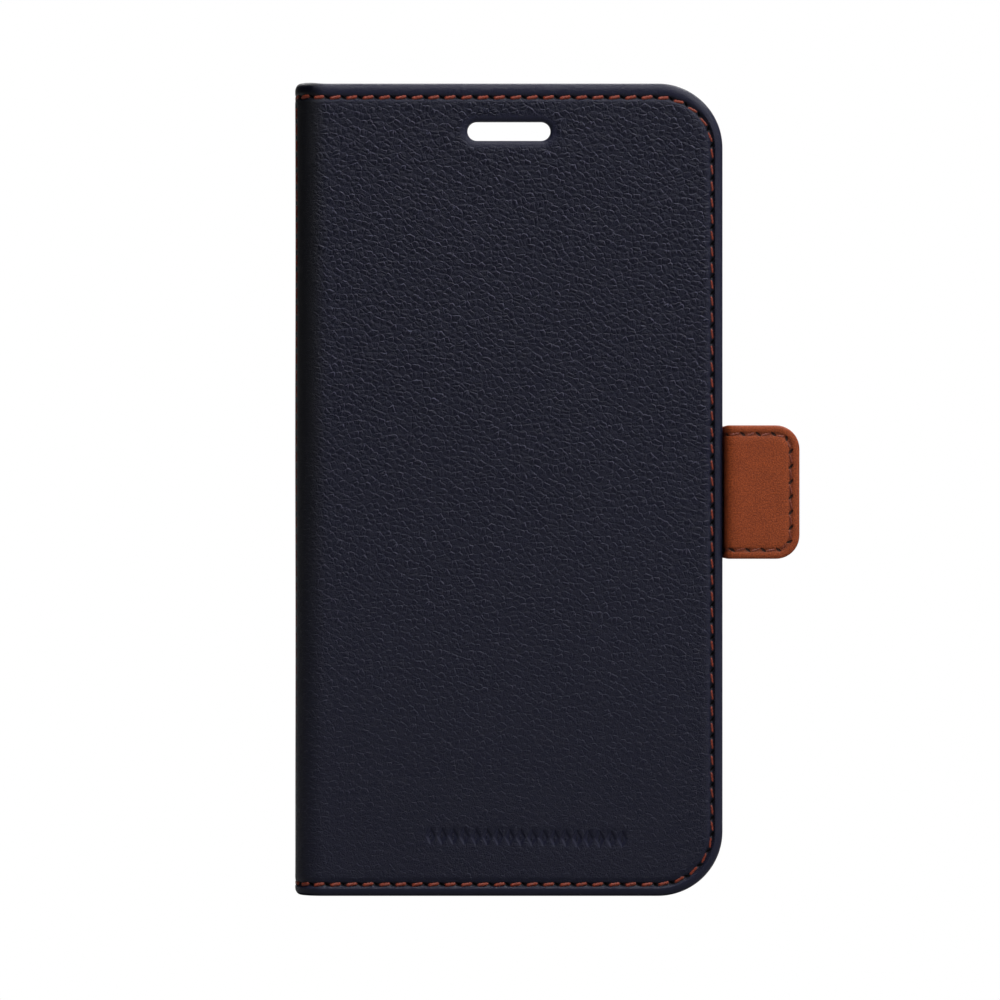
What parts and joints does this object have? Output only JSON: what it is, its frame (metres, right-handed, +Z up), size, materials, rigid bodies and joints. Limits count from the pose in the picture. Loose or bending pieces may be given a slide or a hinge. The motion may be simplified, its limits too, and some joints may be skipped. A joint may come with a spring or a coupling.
{
  "type": "phone wallet case",
  "caption": "Folding leather phone wallet case with a snap-in phone tray, card pockets, an earpiece slot and a side strap with a magnetic tab.",
  "frame": {"origin": "centre of the underside of the closed case with its tab standing out, case upright", "axes": "+Z up along the long side, +X from the spine to the strap, -Y out of the front cover"},
  "size_m": [0.0984, 0.0192, 0.1584],
  "materials": {
    "navy_leather": "pebbled, semi-matt",
    "tan_leather": "smooth, satin",
    "board": "matt",
    "lining": "brushed microfibre",
    "thread": "waxed",
    "tray": "fine matt",
    "adhesive": "matt",
    "steel": "zinc plated",
    "magnet": "nickel plated"
  },
  "bodies": {
    "back": {"back_leather": "navy_leather", "back_board": "board", "back_lining": "lining", "back_thread": "thread", "tray_glue_pad": "adhesive", "phone_tray": "tray", "strap_root_tongue": "tan_leather"},
    "spine": {"spine_leather": "navy_leather", "spine_lining": "lining", "spine_thread": "thread"},
    "front": {"front_leather": "navy_leather", "front_board": "board", "front_lining": "lining", "front_thread": "thread", "closure_keeper_plate": "steel", "note_pocket": "tan_leather", "card_pocket_1": "tan_leather", "card_pocket_2": "tan_leather", "card_pocket_3": "tan_leather"},
    "strap_side": {"strap_side_inner_leather": "tan_leather", "strap_side_outer_leather": "tan_leather", "strap_side_thread": "thread"},
    "strap_tab": {"tab_back_leather": "tan_leather", "tab_front_leather": "tan_leather", "tab_thread": "thread", "tab_magnets": "magnet"}
  },
  "joints": [
    {"name": "spine_fold", "type": "hinge", "parent": "back", "child": "spine", "pos_m": [-0.0477, 0.00812, 0], "axis": [0, 0, -1], "range_deg": [0, 175]},
    {"name": "cover_fold", "type": "hinge", "parent": "spine", "child": "front", "pos_m": [-0.0477, -0.00637, 0], "axis": [0, 0, -1], "range_deg": [0, 175]},
    {"name": "strap_root_fold", "type": "hinge", "parent": "back", "child": "strap_side", "pos_m": [0.0354, 0.00822, 0.07874], "axis": [0, 0, 1], "range_deg": [0, 90]},
    {"name": "strap_tab_fold", "type": "hinge", "parent": "strap_side", "child": "strap_tab", "pos_m": [0.0354, -0.00882, 0.07874], "axis": [0, 0, -1], "range_deg": [0, 180]}
  ]
}
